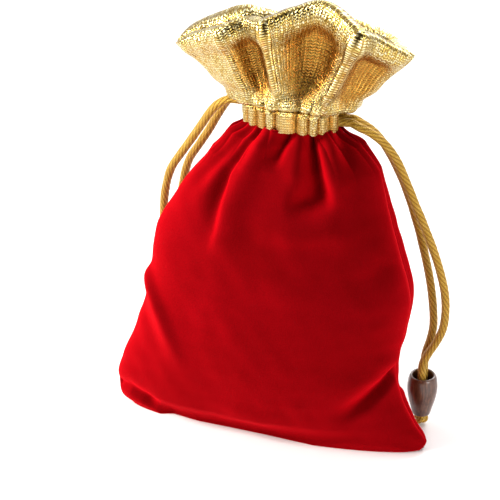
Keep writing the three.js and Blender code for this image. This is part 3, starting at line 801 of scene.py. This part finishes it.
def ruffle_sheet(side, s, lumps_at, rows):
    """The ruffle's middle surface, how far each face is from it, and how hollow it is, rim to waist."""
    knots, ridges, pockets = (FRONT_RIM, FRONT_RIDGES, FRONT_POCKETS) if side < 0 else (
        BACK_RIM, BACK_RIDGES, BACK_POCKETS)
    ends = smooth(0, 0.05, s) * smooth(1, 0.95, s)
    t = np.linspace(1, 0, rows)[:, None]
    waist = np.interp(s, [0, *(a for a, _, _ in ridges), 1], [0, *(b for _, b, _ in ridges), 1])
    ring = neck_ring(WAIST_INSET, waist, side)
    rim = evenly(knots, s)
    grown = t / 0.93
    out, up = grown ** 0.84, grown ** 1.2
    x = ring[:, 0] + (rim[:, 0] - ring[:, 0]) * out
    y = ring[:, 1] + (rim[:, 1] - ring[:, 1]) * out
    z = CHANNEL_TOP + (rim[:, 2] - CHANNEL_TOP) * up
    over = np.exp(-((t - 0.09) / 0.085) ** 2)
    away = unit(ring - np.array([NECK_X, 0]))
    reach = over * (1.9 + 1.5 * (lumps_at - 0.5))
    reach = reach + 2.2 * np.exp(-((t - 0.3) / 0.2) ** 2) * np.abs(np.cos(np.pi * s)) ** 4
    x, y = x + away[:, 0] * reach, y + away[:, 1] * reach
    z = z - over * (1.5 + 0.8 * np.abs(np.cos(np.pi * s)) ** 3)
    sheet = np.stack([x, y, z], -1)
    outward_way = facing(sheet, side, rows // 2, len(s) // 2)
    along = smooth(0.0, 0.25, t) * (1 - 0.45 * smooth(0.75, 1.0, t))
    lift = sum(h * np.exp(-((s - a) / 0.017) ** 2) for a, _, h in ridges)[None] * along
    hollow = sum(d * np.exp(-(np.abs(s - a) / (0.6 * w)) ** 2) for a, w, d in pockets)[None]
    hollow = hollow * smooth(0.02, 0.45, t) * (1 - smooth(0.66, 0.90, t))
    lift = lift - hollow + 0.35 * ripple(s * 8, 34 + side)[None] * smooth(0.15, 0.9, t)
    lift = lift + 0.9 * (lumps_at - 0.45)[None] * np.exp(-t / 0.12)
    sheet = sheet + outward_way * (lift * ends)[..., None]
    low = 0.15 + 0.9 * ends[None]
    sheet[..., 1] = side * (low + 0.9 * np.logaddexp(0, (side * sheet[..., 1] - low) / 0.9) - 0.6 * np.exp(
        -np.abs(side * sheet[..., 1] - low) / 0.9) * (1 - ends[None]))
    # the fold at the rim is puffed up, mostly towards the mouth
    close = np.sqrt(np.clip(1 - np.clip((t - 0.87) / 0.13, 0, 1) ** 2, 0, 1))
    thin = 0.42 + 0.3 * smooth(0.0, 0.35, t)
    puffed = (0.25 + 0.75 * ends[None]) * close
    outer = (thin + 1.3 * smooth(0.68, 0.88, t)) * puffed + 0.02
    inner = (thin + 4.6 * smooth(0.62, 0.90, t)) * puffed + 0.02
    return sheet, outer, inner, hollow


def channel_sheet(side, s, lumps_at, rows):
    """The channel's middle surface and half its thickness, from the waist down to the velvet."""
    ends = smooth(0, 0.04, s) * smooth(1, 0.96, s)
    c = np.linspace(0, 1, rows + 1)[1:, None]
    round_out = np.sin(np.pi * np.clip(c * 1.06, 0, 1)) ** 0.55
    inset = WAIST_INSET * (1 - smooth(0, 0.22, c)) - 0.2 * round_out
    inset = inset - (2.3 * (lumps_at - 0.55) * (1 - 0.45 * c)) * ends[None]
    slot = smooth(0.0, 0.3, c) * 0.125
    turn = slot + (1 - 2 * slot) * s[None]
    ring = neck_ring(inset, turn, side)
    z = CHANNEL_TOP + (CHANNEL_BOTTOM - CHANNEL_TOP) * c - 0.9 * (lumps_at - 0.5)[None] * c ** 2
    sheet = np.concatenate([ring, z[..., None]], -1)
    return sheet, 0.34 * (0.5 + 0.5 * ends[None]) * np.ones((rows, 1))


WAIST_ROW = 90
waist_lines = {}


def collar_half(name, side):
    """The doubled strip: the rolled rim, the ruffle, the gathered waist and the channel round the cords."""
    s = np.linspace(0, 1, 380)
    lumps_at = scallops(s, 31 if side < 0 else 41)
    ruffle, ruffle_outer, ruffle_inner, hollow = ruffle_sheet(side, s, lumps_at, 90)
    channel, channel_half = channel_sheet(side, s, lumps_at, 26)
    middle = np.concatenate([ruffle, channel])
    to_outer = np.concatenate([ruffle_outer, channel_half])
    to_inner = np.concatenate([ruffle_inner, channel_half])
    away = facing(middle, side, 42, 190)
    outer, inner = middle + away * to_outer[..., None], middle - away * to_inner[..., None]
    keep_side(outer, side, COLLAR_SEAM)
    keep_side(inner, side, COLLAR_SEAM)
    down = distances(middle[:, 120])
    u, v = np.meshgrid(s * CLOTH_ROUND, -down)
    piece = closed_cloth(name, outer, inner, np.stack([u, v], -1), LAME)
    # painted shade: how deep each channel crease lies, which the lame paints dark and orange
    crease_painted_shade = (1 - lumps_at[None]) ** 1.3 * np.ones((26, 1))
    # the pockets' depth, clipped, is what the lame paints its orange reflection into
    depth = np.concatenate([np.clip(hollow / 2.5, 0, 0.55), crease_painted_shade]).ravel()
    piece.data.attributes.new("hollow", "FLOAT", "POINT").data.foreach_set("value", np.tile(depth, 2))
    waist_lines[side] = (outer + away * 0.12)[WAIST_ROW, 8:-8]
    return piece


def channel_lining(name, side):
    """The strip's inner layer, which the cords run behind."""
    columns, rows = 160, 16
    s, c = np.meshgrid(np.linspace(0, 1, columns), np.linspace(0, 1, rows))
    gathers = 0.35 * ripple(s * 11, 51 if side < 0 else 52) * np.sin(np.pi * s) ** 0.5
    ring = neck_ring(LINING_INSET + gathers, s, side)
    z = CHANNEL_TOP + (CHANNEL_BOTTOM + 0.2 - CHANNEL_TOP) * c
    middle = np.concatenate([ring, z[..., None]], -1)
    away = facing(middle, side, rows // 2, columns // 2)
    outer, inner = middle + away * 0.3, middle - away * 0.3
    keep_side(outer, side, COLLAR_SEAM)
    keep_side(inner, side, COLLAR_SEAM)
    return closed_cloth(name, outer, inner, np.stack([s * 100, -c * 8], -1), LAME)


# ---------------------------------------------------------------- building the pieces
def follow_mouth(piece):
    """Bakes the piece's placement into its mesh."""
    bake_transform(piece)


def follow_neck(piece):
    """Bakes the panel's placement into its mesh."""
    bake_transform(piece)


def make_velvet():
    for end, side in ENDS.items():
        panel = velvet_panel(f"velvet_panel_{end}", side)
        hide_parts(f"velvet_{end}_panel")
        follow_neck(panel)


def make_collar():
    for end, side in ENDS.items():
        collar = collar_half(f"lame_collar_{end}", side)
        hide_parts(f"gold_collar_{end}")
        follow_mouth(collar)
        lining = channel_lining(f"lame_lining_{end}", side)
        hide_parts(f"channel_lining_{end}")
        follow_mouth(lining)


def run_line(hand, side):
    """A cord's way round half the channel, from the far seam to its own exit."""
    way = WAYS[hand]
    ring = neck_ring(RUN_INSET, np.linspace(0, 1, 40), side)[::way]
    ring = ring[:int(len(ring) * RUN_SHARE)]
    edge = NECK_X + way * NECK_HALF
    tail = [[edge + way * x, side * y] for x, y in ((-2.8, 2.3), (-0.7, 1.6), (1.3, STRAND_Y))]
    flat = np.vstack([ring, tail])
    return smooth_line(np.c_[flat, np.full(len(flat), CORD_HEIGHT[hand])], LINE_STEP)


def make_cords():
    for hand, end in ROUTES:
        name = f"{hand}_cord_{end}_strand"
        line, even = smooth_line(strand_points(hand, end), LINE_STEP)
        strand = knitted_tube(f"{name}_yarn", line, even, CORD_DIAMETER, CORD)
        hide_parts(name)
        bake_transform(strand)
    for hand in WAYS:
        for end, side in ENDS.items():
            line, even = run_line(hand, side)
            run = knitted_tube(f"{hand}_cord_{end}_run_yarn", line, even, CORD_DIAMETER, CORD)
            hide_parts(f"{hand}_cord_{end}_run")
            follow_mouth(run)


def turned(name, profile, centre, material, sides=96, wobble=0.0):
    """A turned piece from a closed profile of radius and height."""
    profile = np.asarray(profile, float)
    turn = np.arange(sides) / sides * 2 * np.pi
    uneven = 1 + wobble * np.cos(3 * turn + 0.7)[None] + wobble * 0.6 * np.cos(5 * turn)[None]
    r = profile[:, :1] * uneven
    x, y = centre[0] + r * np.cos(turn), centre[1] + r * np.sin(turn)
    z = np.broadcast_to(profile[:, 1:], x.shape)
    points = np.stack([x, y, z], -1).reshape(-1, 3)
    rows = len(profile)
    ring = quads(rows, sides, wrap=True)
    i = np.arange(sides)
    k = (i + 1) % sides
    last = np.stack([(rows - 1) * sides + i, (rows - 1) * sides + k, k, i], -1)
    faces = outward(points, np.vstack([ring, last]))
    return mesh_piece(name, points, faces, None, material)


def curve_through(points, n):
    """An even, smooth closed outline through a few points."""
    points = np.asarray(points, float)
    line, _ = smooth_line(np.c_[points, np.zeros(len(points))], 0.05)
    return line[np.linspace(0, len(line) - 1, n).astype(int), :2]


def make_beads():
    outside = [[2.3, BEAD_BOTTOM + 0.05], [2.9, BEAD_BOTTOM + 0.25], [3.2, BEAD_BOTTOM + 1.0],
               [3.65, 6.8], [4.5, 10.2], [5.0, 13.2], [5.1, 14.9], [4.98, 16.7], [4.72, 18.3],
               [4.42, 19.1], [4.05, BEAD_TOP]]
    inside = [[3.62, BEAD_TOP - 0.15], [3.42, BEAD_TOP - 0.8], [3.38, 15.0], [3.36, 10.6], [3.34, 9.4],
              [2.9, 8.6], [2.18, CAVITY_FLOOR], [2.14, 6.4], [2.18, BEAD_BOTTOM + 0.4]]
    profile = np.vstack([curve_through(outside, 40), curve_through(inside, 26)])
    for hand, centre in BEADS.items():
        bead = turned(f"{hand}_wooden_bead", profile, centre, WOOD, wobble=0.006)
        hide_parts(f"{hand}_bead")
        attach(bead, f"{hand}_bead")
        knot = make_knot(hand, centre)


def make_knot(hand, centre):
    """The overhand knot below the bead, with the squeezed strands above it in the hole."""
    t = np.linspace(0, 2 * np.pi, 181)
    loop = np.stack([
        centre[0] + 0.52 * (np.sin(t) + 2 * np.sin(2 * t)),
        centre[1] + 0.52 * (np.cos(t) - 2 * np.cos(2 * t)),
        2.0 - 0.55 * np.sin(3 * t)], -1)
    rise = np.array([[centre[0] - 0.55, centre[1] + 0.2, 2.2], [centre[0], centre[1], 3.2],
                     [centre[0], centre[1], 5.0], [centre[0], centre[1], 10.0], [centre[0], centre[1], 15.0]])
    pieces = []
    for k, (points, thick) in enumerate(((loop[:-1], 2.1), (rise, 3.4))):
        line, even = smooth_line(points, 0.25)
        name = f"{hand}_knot_part_{k}"
        pieces.append(knitted_tube(name, line, even, thick, CORD, sides=20, ribs=6, pitch=4))
    bpy.ops.object.select_all(action="DESELECT")
    for piece in pieces:
        piece.select_set(True)
    bpy.context.view_layer.objects.active = pieces[0]
    bpy.ops.object.join()
    knot = pieces[0]
    knot.name = f"{hand}_cord_knot"
    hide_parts(f"{hand}_knot")
    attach(knot, f"{hand}_cord")
    return knot


def turned_edge(title, x, y, z, uv, node_name):
    front, back = np.stack([x, y - 0.08, z], -1), np.stack([x, y + 0.08, z], -1)
    seam = closed_cloth(f"turned_edge_{title}", front, back, uv, SEAM_VELVET)
    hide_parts(node_name)
    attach(seam, "bag")


def make_seams():
    """The turned-in edges inside the bag, along both sides and the bottom."""
    share = np.linspace(0.05, 0.995, 120)
    left, right, _ = bag_section(share)
    across = np.linspace(0, 1, 8)[None]
    for title, edge in (("left", left), ("right", right)):
        way = WAYS[title]
        x = (edge - way)[:, None] - way * 3.6 * across
        wave = 0.12 * np.sin(share * 60)[:, None] * across
        z = np.broadcast_to((share * BAG_HEIGHT)[:, None], x.shape)
        u, v = np.meshgrid(across[0] * 4, share * BAG_HEIGHT)
        turned_edge(title, x, wave, z, np.stack([u, v], -1), f"side_seam_{title}")
    x = np.linspace(-47, 50, 120)[:, None] + np.zeros((1, 8))
    z = 1.1 + np.linspace(0, 3.0, 8)[None] + np.zeros((120, 1))
    wave = 0.15 * np.sin(x / 3)
    turned_edge("bottom", x, wave, z, np.stack([x, z], -1), "bottom_seam")


def make_stitches():
    """Gold stitches round the gathered waist, and red ones along the edges turned in inside the bag."""
    for end, side in ENDS.items():
        row = stitched(f"waist_stitches_{end}", [waist_lines[side]], Seed=3 + side, Finish=GOLD_THREAD)
        follow_mouth(row)
    share = np.linspace(0.06, 0.98, 100)
    left, right, _ = bag_section(share)
    x = np.linspace(-45, 48, 100)
    lines = []
    for y in (-0.2, 0.2):
        for edge, way in ((left, -1), (right, 1)):
            lines.append(np.stack([edge - way * 2.6, np.full(100, y), share * BAG_HEIGHT], -1))
        lines.append(np.stack([x, 0.15 * np.sin(x / 3) + y, np.full(100, 2.6)], -1))
    row = stitched("turned_edge_stitches", lines, Spacing=0.003, Seed=7, Finish=RED_THREAD)
    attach(row, "bag")


make_cords()
make_beads()
make_velvet()
make_collar()
make_seams()
make_stitches()


# ---------------------------------------------------------------- floor, light and finish
def make_stage():
    material, tree, shader = new_material("pale table")
    shade = noise(tree, object_place(tree), 9.0, 2.0)
    colour = mix_colour(tree, shade, (0.86, 0.835, 0.825), (0.89, 0.87, 0.86))
    set_up(tree, shader, {"Base Color": colour, "Roughness": 0.5})
    size = 1500
    points = [[x * size, y * size, -0.02] for x, y in ((-1, -1), (1, -1), (1, 1), (-1, 1))]
    floor = mesh_piece("floor", points, [[0, 1, 2, 3]], None, material)


def area_light(name, place, target, size, power, colour=(1, 1, 1)):
    data = bpy.data.lights.new(name, "AREA")
    data.shape = "DISK"
    data.size = size
    data.energy = power
    data.color = colour
    lamp = bpy.data.objects.new(name, data)
    lamp.location = place
    way = np.array(target, float) - np.array(place, float)
    lamp.rotation_euler = Vector(way).to_track_quat("-Z", "Y").to_euler()
    bpy.context.collection.objects.link(lamp)


def make_light():
    scene = bpy.context.scene
    scene.view_settings.view_transform = "Standard"
    world = bpy.data.worlds.new("studio")
    scene.world = world
    world.use_nodes = True
    tree = world.node_tree
    background = tree.nodes["Background"]
    place = tree.nodes.new("ShaderNodeTexCoord").outputs["Generated"]
    dark_side = node(tree, "ShaderNodeVectorMath", operation="DOT_PRODUCT", Vector=place)
    dark_side.inputs[1].default_value = (0.35, -0.80, 0.48)
    sky = ramp(tree, dark_side.outputs["Value"], [(0.0, 1.1), (0.40, 0.9), (0.74, 0.05), (1.0, 0.03)])
    set_up(tree, background, {"Color": sky, "Strength": 1.0})
    area_light("key", (-0.50, -0.22, 0.42), (0, 0, 0.07), 0.24, 7.5, (1.0, 0.985, 0.96))
    area_light("fill", (0.55, -0.30, 0.22), (0, 0, 0.07), 0.3, 2.2)
    area_light("back", (0.15, 0.5, 0.45), (0, 0, 0.08), 0.4, 3.0)


make_stage()
make_light()
